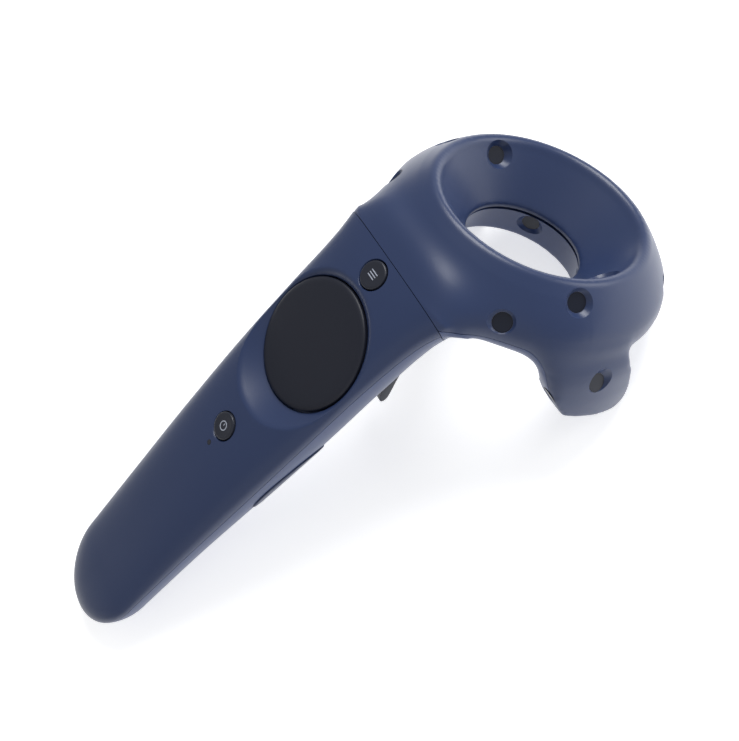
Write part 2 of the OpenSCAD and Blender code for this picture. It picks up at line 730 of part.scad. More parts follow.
handle_top_shell();
handle_bottom_shell();
lanyard_pin();
head_upper_shell();
head_lower_shell();
sensor_windows_upper();
sensor_windows_lower();
photodiodes_upper();
photodiodes_lower();
sensor_boards_upper();
sensor_boards_lower();
head_frame();
sensor_flex();
head_board();
head_screws();
trackpad_cap();
trackpad_touch_board();
trackpad_plunger();
trackpad_switch();
trackpad_frame();
trackpad_cable();
menu_button();
system_button();
menu_switch();
system_switch();
menu_board();
button_board();
status_light_pipe();
status_led();
grip_button_right();
grip_button_left();
grip_switches();
grip_switch_boards();
trigger();
trigger_magnet();
trigger_pin();
trigger_bracket();
trigger_hall_board();
trigger_click_switch();
trigger_spring();
main_board();
main_processor();
radio_shield();
board_connectors();
antenna();
handle_frame();
battery();
battery_pad();
battery_tray();
battery_lead();
haptic_actuator();
haptic_bracket();
charging_port();
charging_tongue();
charging_board();
handle_screws();
head_cable();
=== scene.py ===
import json
import math

import bmesh
import bpy
from mathutils import Matrix, Vector


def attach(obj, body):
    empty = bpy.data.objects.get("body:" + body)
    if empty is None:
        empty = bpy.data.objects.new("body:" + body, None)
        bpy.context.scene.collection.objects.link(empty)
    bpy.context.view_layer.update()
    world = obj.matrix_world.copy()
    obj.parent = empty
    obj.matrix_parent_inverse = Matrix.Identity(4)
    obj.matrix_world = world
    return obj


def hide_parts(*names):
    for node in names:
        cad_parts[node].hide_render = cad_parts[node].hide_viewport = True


bl_info = {
    "name": "VR Motion Controller",
    "version": (1, 0, 0),
    "blender": (4, 5, 0),
    "location": "View3D > Sidebar > Controller",
    "description": "Finishes a wand controller with a trackpad and a tilted tracking ring",
    "category": "Object",
}

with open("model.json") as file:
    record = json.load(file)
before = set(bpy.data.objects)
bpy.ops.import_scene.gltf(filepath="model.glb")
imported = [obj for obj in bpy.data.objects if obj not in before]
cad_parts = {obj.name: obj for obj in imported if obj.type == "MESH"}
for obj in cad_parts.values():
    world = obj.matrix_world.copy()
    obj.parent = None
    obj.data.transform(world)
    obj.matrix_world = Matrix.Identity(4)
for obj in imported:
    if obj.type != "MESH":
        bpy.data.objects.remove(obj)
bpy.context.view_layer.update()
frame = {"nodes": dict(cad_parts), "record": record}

# The wand frame: millimetres, zero at the trackpad's centre, Z out of the pad, Y toward the ring.
# SEAT lays the wand on its butt and lobes; RING is the ring's own frame, with its crest at height zero.
SEAT_TILT = math.radians(21.95)
MILLIMETRES = Matrix.Scale(0.001, 4)
SEAT = Matrix.Translation((0, 0.00762, 0.05454)) @ Matrix.Rotation(SEAT_TILT, 4, "X") @ MILLIMETRES
RING = Matrix.Translation((0, 68.9, -38.9)) @ Matrix.Rotation(math.radians(-63), 4, "X")
FROM_RING = RING.inverted()

# ---------------------------------------------------------------- curves of the handle

# Handle stations: Y, half width, top, seam, underside
STATIONS = [
    (-108, 18, 6.2, 2.4, -13.2), (-78, 19.3, 6.8, 1.3, -15.6), (-50, 20.8, 6.5, 0.1, -19.6),
    (-20, 22.2, 4.6, -1.2, -23.6), (5, 22.9, 2.8, -3.3, -25.5), (25, 24.3, 0.5, -6.3, -26),
    (39, 28.3, -2.4, -9.6, -26.5), (50, 31.5, -5, -12, -28),
]
BUTT_END = -129
BUTT_ROUND = 21
BUTT_MIDDLE = 1.0
TOP_POWER = 2.6
# Line where the handle meets the head, seen from the side: Y and Z
JOINT_LINE = [
    (37.8, 9), (36.9, 4), (35.0, 0), (32.7, -4.4), (30.5, -9),
    (29.2, -13), (28.5, -17), (28.1, -25), (28, -40),
]


def smooth_value(table, column, x):
    """Reads one column of a table along its first, with slopes that run on smoothly."""
    last = len(table) - 1
    x = min(max(x, table[0][0]), table[last][0])
    i = max(k for k in range(last) if table[k][0] <= x)

    def slope(k):
        a, b = table[max(k - 1, 0)], table[min(k + 1, last)]
        return (b[column] - a[column]) / (b[0] - a[0])

    a, b = table[i], table[i + 1]
    span = b[0] - a[0]
    t = (x - a[0]) / span
    return (
        (2 * t ** 3 - 3 * t ** 2 + 1) * a[column] + (t ** 3 - 2 * t ** 2 + t) * span * slope(i)
        + (3 * t ** 2 - 2 * t ** 3) * b[column] + (t ** 3 - t ** 2) * span * slope(i + 1)
    )


def station(y):
    """Half width, top, seam and underside of the handle at Y."""
    if y >= STATIONS[0][0]:
        return [smooth_value(STATIONS, c, y) for c in (1, 2, 3, 4)]
    reach = min(max((y - BUTT_END) / BUTT_ROUND, 0), 1)
    wide = math.sqrt(max(1 - (1 - reach) ** 2, 0))
    _, half, top, seam, under = STATIONS[0]
    rise = math.sqrt(wide)
    return [
        half * wide, BUTT_MIDDLE + (top - BUTT_MIDDLE) * rise,
        BUTT_MIDDLE + (seam - BUTT_MIDDLE) * rise, BUTT_MIDDLE + (under - BUTT_MIDDLE) * wide,
    ]


def signed_power(value, power):
    return math.copysign(abs(value) ** power, value)


def skin_point(y, angle, grow=0.0):
    """A point on the handle's skin: 0 and 180 degrees are on the seam, 90 on top."""
    half, top, seam, under = station(y)
    power = TOP_POWER if angle % 360 <= 180 else 2.0
    c, s = math.cos(math.radians(angle)), math.sin(math.radians(angle))
    rise = top + grow - seam if s > 0 else seam - under + grow
    return Vector(((half + grow) * signed_power(c, 2 / power), y, seam + rise * signed_power(s, 2 / power)))


def top_height(x, y):
    half, top, seam, _ = station(y)
    return seam + (top - seam) * max(1 - (abs(x) / half) ** TOP_POWER, 0.0) ** (1 / TOP_POWER)


def side_reach(y, z):
    """Half width of the handle's lower half at height Z."""
    half, _, seam, under = station(y)
    return half * math.sqrt(max(1 - ((seam - z) / (seam - under)) ** 2, 0.0))


def handle_rows(start, end, count):
    """Y values from the butt's tip, close together where it rounds off."""
    butt = [BUTT_END + BUTT_ROUND * (1 - math.cos(math.radians(k))) for k in range(0, 90, 5)]
    rest = [-108 + (end + 108) * k / count for k in range(count + 1)]
    return [y for y in butt + rest if y >= start]


# ---------------------------------------------------------------- mesh helpers


def sheet(columns, rows, place):
    """A grid whose points are placed by a function of two values from 0 to 1; meeting edges are merged."""
    bm = bmesh.new()
    bmesh.ops.create_grid(bm, x_segments=columns, y_segments=rows, size=1)
    for v in bm.verts:
        v.co = place((v.co.x + 1) / 2, (v.co.y + 1) / 2)
    return closed(bm)


def closed(bm):
    bmesh.ops.remove_doubles(bm, verts=bm.verts, dist=1e-4)
    bmesh.ops.dissolve_degenerate(bm, edges=bm.edges, dist=1e-5)
    bmesh.ops.recalc_face_normals(bm, faces=bm.faces)
    return bm


def turned(profile, steps=96):
    """Spins an outline of radius and height, each end on the axis, a full turn about Z."""
    bm = bmesh.new()
    verts = [bm.verts.new((max(r, 0.0), 0, h)) for r, h in profile]
    edges = [bm.edges.new(pair) for pair in zip(verts, verts[1:])]
    bmesh.ops.spin(bm, geom=verts + edges, cent=(0, 0, 0), axis=(0, 0, 1), dvec=(0, 0, 0),
                   angle=math.tau, steps=steps, use_merge=True, use_duplicate=False)
    return closed(bm)


def band(profile, steps=96):
    """Spins a closed outline of radius and height, clear of the axis, a full turn about Z."""
    return turned(list(profile) + [profile[0]], steps)


def slab(outline, low, high, round_off=0.0, segments=3):
    """An outline raised along Z, with its long edges rounded."""
    bm = bmesh.new()
    face = bm.faces.new([bm.verts.new((x, y, low)) for x, y in outline])
    made = bmesh.ops.extrude_face_region(bm, geom=[face])
    bmesh.ops.translate(bm, verts=[v for v in made["geom"] if isinstance(v, bmesh.types.BMVert)],
                        vec=(0, 0, high - low))
    bmesh.ops.recalc_face_normals(bm, faces=bm.faces)
    if round_off:
        rims = [e for e in bm.edges if abs(e.verts[0].co.z - e.verts[1].co.z) < 1e-6]
        bmesh.ops.bevel(bm, geom=rims, offset=round_off, offset_type="OFFSET", affect="EDGES",
                        segments=segments, profile=0.5, material=-1, clamp_overlap=True)
    return bm


def brick(low, high, round_off=0.0, segments=2):
    bm = bmesh.new()
    bmesh.ops.create_cube(bm, size=1)
    size = [b - a for a, b in zip(low, high)]
    bmesh.ops.scale(bm, vec=size, verts=bm.verts)
    bmesh.ops.translate(bm, vec=[(a + b) / 2 for a, b in zip(low, high)], verts=bm.verts)
    if round_off:
        bmesh.ops.bevel(bm, geom=bm.edges[:], offset=round_off, offset_type="OFFSET", affect="EDGES",
                        segments=segments, profile=0.5, material=-1, clamp_overlap=True)
    return bm


ALONG_X = Matrix(((0, 0, 1, 0), (1, 0, 0, 0), (0, 1, 0, 0), (0, 0, 0, 1)))


def along_x(outline, low, high, round_off=0.0, segments=3):
    """A side outline of Y and Z, raised along X."""
    bm = slab(outline, low, high, round_off, segments)
    bm.transform(ALONG_X)
    return bm


def moved(bm, *matrices):
    for m in matrices:
        bm.transform(m)
        if m.determinant() < 0:
            bmesh.ops.reverse_faces(bm, faces=bm.faces)
    return bm


def joined(*parts):
    bm = bmesh.new()
    for part in parts:
        mesh = bpy.data.meshes.new("join")
        part.to_mesh(mesh)
        part.free()
        bm.from_mesh(mesh)
        bpy.data.meshes.remove(mesh)
    return bm


def as_object(bm, name):
    mesh = bpy.data.meshes.new(name)
    bm.to_mesh(mesh)
    bm.free()
    obj = bpy.data.objects.new(name, mesh)
    bpy.context.scene.collection.objects.link(obj)
    return obj


def shape_of(obj):
    """The object's shape with its modifiers applied, as a new bmesh."""
    bpy.context.view_layer.update()
    mesh = bpy.data.meshes.new_from_object(obj.evaluated_get(bpy.context.evaluated_depsgraph_get()))
    bm = bmesh.new()
    bm.from_mesh(mesh)
    bpy.data.meshes.remove(mesh)
    return bm


def baked(obj):
    """As shape_of, and the object is removed."""
    bm = shape_of(obj)
    old = obj.data
    bpy.data.objects.remove(obj)
    bpy.data.meshes.remove(old)
    return bm


def cut(bm, cutters, operation="DIFFERENCE"):
    """Cuts each solid from the shape in turn; a volume that can't be right calls the second solver."""
    start = bm.calc_volume()
    body = as_object(bm, "body")
    tools = [as_object(c, "cutter") for c in cutters]
    for tool in tools:
        step = body.modifiers.new("cut", "BOOLEAN")
        step.operation = operation
        step.object = tool
    for solver in ("MANIFOLD", "EXACT"):
        for step in body.modifiers:
            step.solver = solver
        result = shape_of(body)
        share = result.calc_volume() / start
        if (0.999 < share < 2.5) if operation == "UNION" else (0.01 < share < 1.0005):
            break
        result.free()
    else:
        raise RuntimeError(f"the {operation.lower()} of {len(tools)} solids failed")
    for obj in [body] + tools:
        old = obj.data
        bpy.data.objects.remove(obj)
        bpy.data.meshes.remove(old)
    return result


def finish(bm, name, body, nodes, look, sharp=32):
    """Seats a shape, marks edges past the sharp angle, and hands it over as a finished piece."""
    bm.transform(SEAT)
    bmesh.ops.remove_doubles(bm, verts=bm.verts, dist=2e-6)
    bmesh.ops.recalc_face_normals(bm, faces=bm.faces)
    for f in bm.faces:
        f.smooth = True
        f.material_index = 0
    limit = math.radians(sharp)
    for e in bm.edges:
        e.smooth = len(e.link_faces) == 2 and e.calc_face_angle(0.0) < limit
    if not bm.faces:
        raise RuntimeError(f"{name} came out empty")
    obj = as_object(bm, name)
    obj.data.materials.append(FINISHES[look])
    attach(obj, body)
    if nodes:
        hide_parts(*nodes)
    return obj


# ---------------------------------------------------------------- shader expressions


class Value:
    """A socket in a node tree that can be written in sums."""

    def __init__(self, tree, socket):
        self.tree = tree
        self.socket = socket

    def maths(self, operation, *others):
        node = self.tree.nodes.new("ShaderNodeMath")
        node.operation = operation
        for slot, item in zip(node.inputs, others):
            if isinstance(item, Value):
                self.tree.links.new(item.socket, slot)
            else:
                slot.default_value = item
        return Value(self.tree, node.outputs[0])

    def __add__(self, other):
        return self.maths("ADD", self, other)

    __radd__ = __add__

    def __mul__(self, other):
        return self.maths("MULTIPLY", self, other)

    __rmul__ = __mul__

    def __sub__(self, other):
        return self.maths("SUBTRACT", self, other)

    def __rsub__(self, other):
        return self.maths("SUBTRACT", other, self)


class Recipe:
    """A material being written: one call adds any node."""

    def __init__(self, name):
        self.material = bpy.data.materials.new(name)
        self.material.use_nodes = True
        self.tree = self.material.node_tree
        self.shader = self.tree.nodes["Principled BSDF"]

    def node(self, kind, settings=None, output=0, **values):
        node = self.tree.nodes.new(kind)
        for key, value in (settings or {}).items():
            setattr(node, key, value)
        for key, value in values.items():
            self.feed(node.inputs[key.replace("_", " ")], value)
        return Value(self.tree, node.outputs[output])

    def feed(self, socket, value):
        if isinstance(value, Value):
            self.tree.links.new(value.socket, socket)
        else:
            socket.default_value = value

    def place(self):
        return self.node("ShaderNodeTexCoord", output=3)

    def grain(self, scale, detail=2.0, roughness=0.5):
        return self.node(
            "ShaderNodeTexNoise", Vector=self.place(), Scale=scale, Detail=detail, Roughness=roughness)

    def set(self, socket, value):
        self.feed(self.shader.inputs[socket], value)


def colour(hexes):
    """A linear colour from display values of 0 to 255."""
    parts = [h / 255 for h in hexes]
    return tuple([p / 12.92 if p <= 0.04045 else ((p + 0.055) / 1.055) ** 2.4 for p in parts] + [1.0])


def moulded(name, shade, rough=0.33, spread=0.05, grain=5200, depth=0.04, tint=0.06, specular=0.44, coat=0.0):
    """Moulded plastic: even colour, faint mottling, and a fine spark-eroded grain."""
    mat = Recipe(name)
    cloud = mat.grain(90, 3.0)
    fine = mat.grain(grain, 2.0)
    dark = tuple(c * (1 - tint) for c in shade[:3]) + (1.0,)
    mix = mat.tree.nodes.new("ShaderNodeMix")
    mix.data_type = "RGBA"
    mat.feed(mix.inputs["Factor"], cloud)
    mat.feed(mix.inputs["A"], dark)
    mat.feed(mix.inputs["B"], shade)
    mat.set("Base Color", Value(mat.tree, mix.outputs["Result"]))
    mat.set("Roughness", rough - spread / 2 + spread * fine)
    mat.set("Normal", mat.node("ShaderNodeBump", Strength=depth, Distance=0.0002, Height=fine))
    mat.set("Specular IOR Level", specular)
    if coat:
        mat.set("Coat Weight", coat)
        mat.set("Coat Roughness", 0.12)
    return mat.material


def metal(name, shade, rough=0.32):
    mat = Recipe(name)
    mat.set("Base Color", shade)
    mat.set("Metallic", 1.0)
    mat.set("Roughness", rough - 0.06 + 0.12 * mat.grain(1400, 3.0))
    return mat.material


def materials(colours):
    """Every finish of the controller, by the record's slot."""
    upper = tuple(colours.upper_shell) + (1.0,)
    lower = tuple(colours.lower_shell) + (1.0,)
    pad = tuple(colours.trackpad) + (1.0,)
    return {
        "upper_shell": moulded("navy_upper", upper),
        # Painted light: the lower shells' finish is the same navy painted lighter for light from below.
        "lower_shell": moulded("navy_lower_painted_lit", lower),
        "grip_plastic": moulded("grip_satin", tuple(colours.grip_button) + (1.0,), rough=0.38),
        "trackpad_black": moulded("trackpad_matte", pad, rough=0.46, depth=0.03, specular=0.36),
        "button_grey": moulded("button_satin", colour((34, 37, 48)), rough=0.34, depth=0.02),
        "trigger_plastic": moulded("trigger_satin", colour((28, 32, 46)), rough=0.38),
        "sensor_window": moulded("infrared_window", colour((22, 27, 42)), rough=0.3, depth=0.0, specular=0.3),
        "light_pipe": moulded("smoked_lens", colour((30, 32, 42)), rough=0.14, depth=0.0, coat=0.4),
        "button_mark": moulded("mark_grey", colour((172, 178, 192)), rough=0.5, depth=0.0),
        "steel": metal("plain_steel", (0.42, 0.43, 0.45, 1), 0.3),
        "switch_metal": metal("tinned_sheet", (0.6, 0.61, 0.63, 1), 0.36),
        "circuit_board": moulded("solder_mask", (0.006, 0.07, 0.025, 1), rough=0.35, coat=0.2),
        "chip_black": moulded("moulded_black", (0.012, 0.012, 0.014, 1), rough=0.5),
        "inner_plastic": moulded("inner_black", (0.02, 0.02, 0.022, 1), rough=0.5),
        "flex_film": moulded("amber_film", (0.42, 0.14, 0.02, 1), rough=0.3, coat=0.3),
        "antenna_brass": metal("stamped_brass", (0.6, 0.4, 0.12, 1), 0.3),
        "battery_foil": metal("pouch_foil", (0.62, 0.63, 0.65, 1), 0.42),
        "foam_pad": moulded("soft_foam", (0.02, 0.02, 0.022, 1), rough=0.9, depth=0.3, grain=2600),
    }


FINISHES = {}


# ---------------------------------------------------------------- settings


class ControllerSizes(bpy.types.PropertyGroup):
    pad_radius: bpy.props.FloatProperty(
        name="Trackpad radius", description="Radius of the moving trackpad, mm", default=20.0)
    well_radius: bpy.props.FloatProperty(
        name="Trackpad well radius", description="Radius of the well round the trackpad, mm", default=20.4)
    button_radius: bpy.props.FloatProperty(
        name="Button radius", description="Radius of the round buttons, mm", default=4.35)
    button_hole: bpy.props.FloatProperty(
        name="Button hole radius", description="Radius of the round button holes, mm", default=4.67)
    window_radius: bpy.props.FloatProperty(
        name="Window radius", description="Radius of a sensor window, mm", default=2.9)
    seam: bpy.props.FloatProperty(
        name="Seam width", description="Width of the gap between two shells, mm", default=0.2)


class ControllerColours(bpy.types.PropertyGroup):
    upper_shell: bpy.props.FloatVectorProperty(
        name="Upper shell", description="Colour of the upper shells", subtype="COLOR", size=3,
        default=colour((43, 57, 92))[:3])
    # Lower shells: the upper shells' navy, painted lighter to stand for light falling from below (painted
    # light).
    lower_shell: bpy.props.FloatVectorProperty(
        name="Lower shell", description="Colour of the lower shells", subtype="COLOR", size=3,
        default=colour((52, 68, 108))[:3])
    grip_button: bpy.props.FloatVectorProperty(
        name="Grip button", description="Colour of the side grip buttons", subtype="COLOR", size=3,
        default=colour((52, 62, 90))[:3])
    trackpad: bpy.props.FloatVectorProperty(
        name="Trackpad", description="Colour of the trackpad", subtype="COLOR", size=3,
        default=colour((27, 30, 42))[:3])


def sizes():
    return bpy.context.scene.controller_sizes


# ---------------------------------------------------------------- handle


def handle_half(angles, start, end, rows, grow=0.0, chord=0.0, arc=96):
    """Closed half of the handle: its skin between two angles, and a flat face at the seam."""
    ys = handle_rows(start, end, rows)
    flat = 16

    def place(u, v):
        k = v * (len(ys) + 1)
        y = ys[min(max(round(k) - 1, 0), len(ys) - 1)]
        step = u * (arc + flat)
        left, right = skin_point(y, angles[0], grow), skin_point(y, angles[1], grow)
        if step <= arc:
            p = skin_point(y, angles[0] + (angles[1] - angles[0]) * step / arc, grow)
        else:
            p = right.lerp(left, (step - arc) / flat)
        seam = station(y)[2] + chord
        p.z = max(p.z, seam) if chord >= 0 else min(p.z, seam)
        if round(k) == 0 or round(k) == len(ys) + 1:
            p = Vector((0, y, seam))
        return p

    return sheet(arc + flat, len(ys) + 1, place)


def behind_joint(gap):
    """Everything behind the joint line between handle and head."""
    line = [(y - gap, z) for y, z in JOINT_LINE]
    return along_x([(-200, 60), (-200, -60), (line[-1][0], -60)] + line[::-1] + [(line[0][0], 60)], -90, 90)


def bowl_cutter(well):
    """Trackpad well and the scooped bowl round it, with a softened rim."""
    foot, depth, reach = -0.4, 6.4, 8.4

    def slope(r):
        t = (r - well) / reach
        return foot + depth * (0.82 * t + 0.18 * t * t)

    def place(u, v):
        a = math.tau * u
        c, s = math.cos(a), math.sin(a)
        low, high = well, well + 9.5
        for _ in range(30):
            mid = (low + high) / 2
            low, high = (mid, high) if slope(mid) < top_height(mid * c, mid * s) else (low, mid)
        rim = low
        start = max(rim - 0.8, well + 0.25)
        profile = [(0, -11.4), (well, -11.4), (well, -0.75), (well + 0.12, -0.48)]
        profile += [(well + 0.22 + (start - well - 0.22) * k / 10, None) for k in range(11)]
        edge = rim + 0.75
        profile += [(rim - 0.1, top_height((rim - 0.1) * c, (rim - 0.1) * s) - 0.2)]
        profile += [(edge, top_height(edge * c, edge * s) + 0.1), (edge + 0.2, 20), (0, 20)]
        r, z = profile[min(round(v * (len(profile) - 1)), len(profile) - 1)]
        return Vector((r * c, r * s, slope(r) if z is None else z))

    return sheet(144, 18, place)


AT_MENU = Matrix.Translation((0, 28.1, -0.2)) @ Matrix.Rotation(math.radians(-10), 4, "X")
AT_SYSTEM = Matrix.Translation((0, -37.8, 5.9))
LIGHT_Y = -45.5
NOTCH_ROOF = -7.2
# Screw bores: X and Y of the handle's, on both sides, and X and Y in the ring frame of the head's
SCREWS = [(9, -104), (11.5, -12)]
HEAD_SCREWS = [(27, 24), (-27, 24)]
SCREW_BORE = 1.6


def button_hole(radius):
    """Cutter for a round button's hole, with an eased rim."""
    return turned([
        (0, -9), (radius, -9), (radius, -0.3), (radius + 0.22, 0.05),
        (radius + 1.2, 0.75), (radius + 1.2, 5), (0, 5),
    ], 72)


# Grip buttons: leaf outline in Y and Z about its own centre
GRIP_CENTRE = (-37.0, -10.0)
GRIP_SLOPE = math.radians(-12)
GRIP_LENGTH = 30.0
GRIP_HEIGHT = 8.0


def leaf(grow, count=120):
    """Leaf outline: two large arcs, rounded at the tips."""
    reach, half = GRIP_LENGTH / 2, GRIP_HEIGHT / 2
    points = []
    for k in range(count):
        a = math.tau * k / count
        c, s = math.cos(a), math.sin(a)
        y = (reach + grow) * signed_power(c, 0.8)
        z = (half + grow) * signed_power(s, 1.12)
        points.append((y, z))
    return points


def on_side(point):
    """Turns a leaf point to the handle's slope and place: Y and Z."""
    y, z = point
    c, s = math.cos(GRIP_SLOPE), math.sin(GRIP_SLOPE)
    return GRIP_CENTRE[0] + y * c - z * s, GRIP_CENTRE[1] + y * s + z * c


def grip_piece(side):
    """A leaf that follows the side wall, softly rounded at its rim."""
    outline = leaf(0)
    rings = [
        (1.0, -2.0), (1.0, 0.05), (0.985, 0.28), (0.95, 0.45), (0.88, 0.52),
        (0.75, 0.55), (0.5, 0.55), (0.25, 0.55), (0.0, 0.55),
    ]

    def place(u, v):
        k = round(v * (len(rings) + 1))
        scale, rise = rings[max(k - 1, 0)] if k <= len(rings) else rings[-1]
        if k == 0:
            scale, rise = 0.0, rings[0][1]
        py, pz = outline[round(u * len(outline)) % len(outline)]
        if 0.7 <= scale < 1:
            # near the rim the ring steps in by a length, not by a share of the leaf
            scale = max(1 - (1 - scale) * 7.0 / max(math.hypot(py, pz), 4.0), 0.7)
        y, z = on_side((py * scale, pz * scale))
        return Vector((side * (side_reach(y, z) + rise), y, z))

    return sheet(len(outline), len(rings), place)


def build_handle():
    s = sizes()
    gap = s.seam / 2
    top = handle_half((0, 180), BUTT_END, 47, 150, chord=gap)
    top = cut(top, [behind_joint(gap)], "INTERSECT")
    top = cut(top, [
        bowl_cutter(s.well_radius),
        moved(button_hole(s.button_hole), AT_MENU),
        moved(button_hole(s.button_hole), AT_SYSTEM),
        moved(turned([(0, 0), (0.85, 0), (0.85, 8), (1.1, 8.6), (0, 8.6)], 32),
              Matrix.Translation((0, LIGHT_Y, 0))),
        handle_half((0, 180), -124, -33, 60, grow=-2.0, chord=-3.0, arc=48),
        brick((-13, -14, -20), (13, 10, -2.5)),
    ])
    finish(top, "handle_top", "housing", ["handle_top_shell"], "upper_shell")

    under = handle_half((360, 180), BUTT_END, 47, 150, chord=-gap)
    under = cut(under, [behind_joint(gap)], "INTERSECT")
    recess = []
    for side in (-1, 1):
        ring = [on_side(p) for p in leaf(0.32)]
        recess.append(along_x(ring, *sorted((side * 13.0, side * 32.0))))
    under = cut(under, recess + [
        handle_half((360, 180), -125.5, 36, 110, grow=-2.0, chord=3.0, arc=48),
        brick((-8.1, -8.5, -40), (8.1, 28.5, -11), 1.2, 3),
        brick((-4.1, -140, -3.9), (4.1, -118, -0.5), 0.8, 3),
        brick((-5.2, -140, -4.8), (5.2, -125.5, 0.4), 1.2, 3),
    ])
    boss = cut(brick((-6.5, -119.5, -16), (6.5, -104.6, -5.7)),
               [handle_half((360, 180), BUTT_END, 47, 150, grow=-0.5, chord=-gap)], "INTERSECT")
    under = cut(under, [boss], "UNION")
    under = cut(under, [brick((-5, -118, -40), (5, -106, NOTCH_ROOF), 1.2, 3)] + [
        moved(turned([(0, -40), (SCREW_BORE, -40), (SCREW_BORE, 0.5), (0, 0.5)], 40),
              Matrix.Translation((side * x, y, 0)))
        for x, y in SCREWS for side in (-1, 1)
    ])
    finish(under, "handle_underside", "housing", ["handle_bottom_shell"], "lower_shell")


# ---------------------------------------------------------------- head

# Ring outline: radius and height along the ring axis
RING_OUTER = [
    (33.1, 0.6), (34.3, 0.2), (35.6, -0.95), (38.8, -4.0), (42.4, -8.0), (44.3, -10.6), (45.35, -13.0),
    (45.8, -15.4), (45.8, -17.2), (45.1, -19.0), (43.0, -21.2), (40.0, -23.2), (34.0, -26.2), (26.0, -28.3),
]
RING_INNER = [
    (24.4, -28.6), (23.2, -28.5), (22.4, -27.9), (18.5, -15.6), (18.4, -15.1), (18.7, -14.6),
    (30.3, -1.7), (31.1, -0.6), (32.0, 0.25),
]
# Height at which the ring's upper and lower shells meet
PARTING = -17.4
# Lobe seen from the side: Y and Z
LOBE_OUTLINE = [
    (32.4, -46.0), (34.8, -39.8), (38.8, -33.2), (47, -18), (66, -18), (66, -43.6), (58, -54.6),
    (45.6, -73.2), (43.2, -75.2), (40.2, -75), (37.8, -72.4), (34.5, -59), (31.7, -49),
]
# Lobe's outer and inner faces: radius and height along the ring axis
LOBE_OUTER = [(46.4, -14.0), (46.9, -18.0), (49.1, -22.0), (50.3, -29.0), (50.9, -37.0), (51.0, -62.0)]
LOBE_INNER = [(41.5, -62.0), (41.4, -30.0), (40.6, -14.0)]


def curve_through(points, per_span=6):
    """A smooth line through the points."""
    line = []
    for i in range(len(points) - 1):
        p0, p1, p2, p3 = (Vector(points[min(max(i + k, 0), len(points) - 1)]) for k in (-1, 0, 1, 2))
        for k in range(per_span):
            t = k / per_span
            bend = 2 * p0 - 5 * p1 + 4 * p2 - p3
            twist = 3 * p1 - p0 - 3 * p2 + p3
            line.append(0.5 * ((2 * p1) + (p2 - p0) * t + bend * t * t + twist * t ** 3))
    line.append(Vector(points[-1]))
    return [(p[0], p[1]) for p in line]


def ring_solid():
    return moved(band(curve_through(RING_OUTER) + RING_INNER, 160), RING)


def neck_solid():
    """The handle's own section carried into the ring, narrowing inside it."""
    ends = [(16, 1.0, 0), (26, 1.0, 0), (31, 1.0, 0.4), (36, 0.97, 1.8), (40, 0.88, 2.0), (44, 0.7, 1.0)]

    def place(u, v):
        k = round(v * 22)
        y = 16 + 28 * min(max(k - 1, 0), 20) / 20
        shrink = smooth_value(ends, 1, y)
        p = skin_point(y, 360 * u)
        middle = station(y)[2]
        p.x *= shrink
        if p.z < middle:
            p.z += smooth_value(ends, 2, y) * (middle - p.z) / 20
        if k == 0 or k == 22:
            p = Vector((0, y, middle))
        return p

    return sheet(96, 22, place)


def web_solid():
    """Fills between the handle's end and the ring's widest part."""
    bm = bmesh.new()
    rim = bmesh.ops.create_circle(bm, segments=72, radius=1)["verts"]
    for v in rim:
        v.co = skin_point(30.5, math.degrees(math.atan2(v.co.y, v.co.x)) % 360, -0.8)
    rim = bmesh.ops.create_circle(bm, segments=72, radius=1)["verts"]
    for v in rim:
        v.co = skin_point(37.0, math.degrees(math.atan2(v.co.y, v.co.x)) % 360, -0.8)
        v.co.z = max(v.co.z, v.co.z * 0.82 - 1.6)
    for radius, height, reach in ((44.4, -15.4, 22), (44.0, -10.8, 24), (41.6, -7.6, 28), (38.8, -4.6, 31.5)):
        rim = bmesh.ops.create_circle(bm, segments=120, radius=radius)["verts"]
        far = [v for v in rim if v.co.y > -reach]
        near = [v for v in rim if v.co.y <= -reach]
        bmesh.ops.delete(bm, geom=far, context="VERTS")
        for v in near:
            v.co.z = height
            v.co = RING @ v.co
    bmesh.ops.convex_hull(bm, input=bm.verts[:])
    loose = [v for v in bm.verts if not v.link_faces]
    bmesh.ops.delete(bm, geom=loose, context="VERTS")
    return closed(bm)


def lobe_solid(side):
    """Part of a flared band, trimmed to the lobe's outline."""
    profile = curve_through(LOBE_OUTER, 4) + LOBE_INNER
    bm = bmesh.new()
    verts = [bm.verts.new((r, 0, h)) for r, h in profile]
    face = bm.faces.new(verts)
    turn = math.radians(50)
    bmesh.ops.rotate(bm, verts=verts, cent=(0, 0, 0), matrix=Matrix.Rotation(-turn, 3, "Z"))
    bmesh.ops.spin(bm, geom=[face] + verts + face.edges[:], cent=(0, 0, 0), axis=(0, 0, 1), dvec=(0, 0, 0),
                   angle=2 * turn, steps=60, use_merge=False, use_duplicate=False)
    closed(bm)
    bm.transform(RING)
    n = len(LOBE_OUTLINE)
    for i in range(n):
        a, b = LOBE_OUTLINE[i], LOBE_OUTLINE[(i + 1) % n]
        along = Vector((0, b[0] - a[0], b[1] - a[1])).normalized()
        out = Vector((1, 0, 0)).cross(along)
        lean = 0.22 if out.y < -0.95 else 0.0
        out = (out + Vector((lean, 0, 0))).normalized()
        bmesh.ops.bisect_plane(bm, geom=bm.verts[:] + bm.edges[:] + bm.faces[:], dist=1e-5,
                               plane_co=(50.0, a[0], a[1]), plane_no=out, clear_outer=True)
        rim = [e for e in bm.edges if e.is_boundary]
        if rim:
            bmesh.ops.holes_fill(bm, edges=rim, sides=0)
    if side < 0:
        moved(bm, Matrix.Scale(-1, 4, (1, 0, 0)))
    return closed(bm)


def soften(bm, verts, times):
    for _ in range(times):
        bmesh.ops.smooth_vert(bm, verts=verts, factor=0.5, use_axis_x=True, use_axis_y=True, use_axis_z=True)


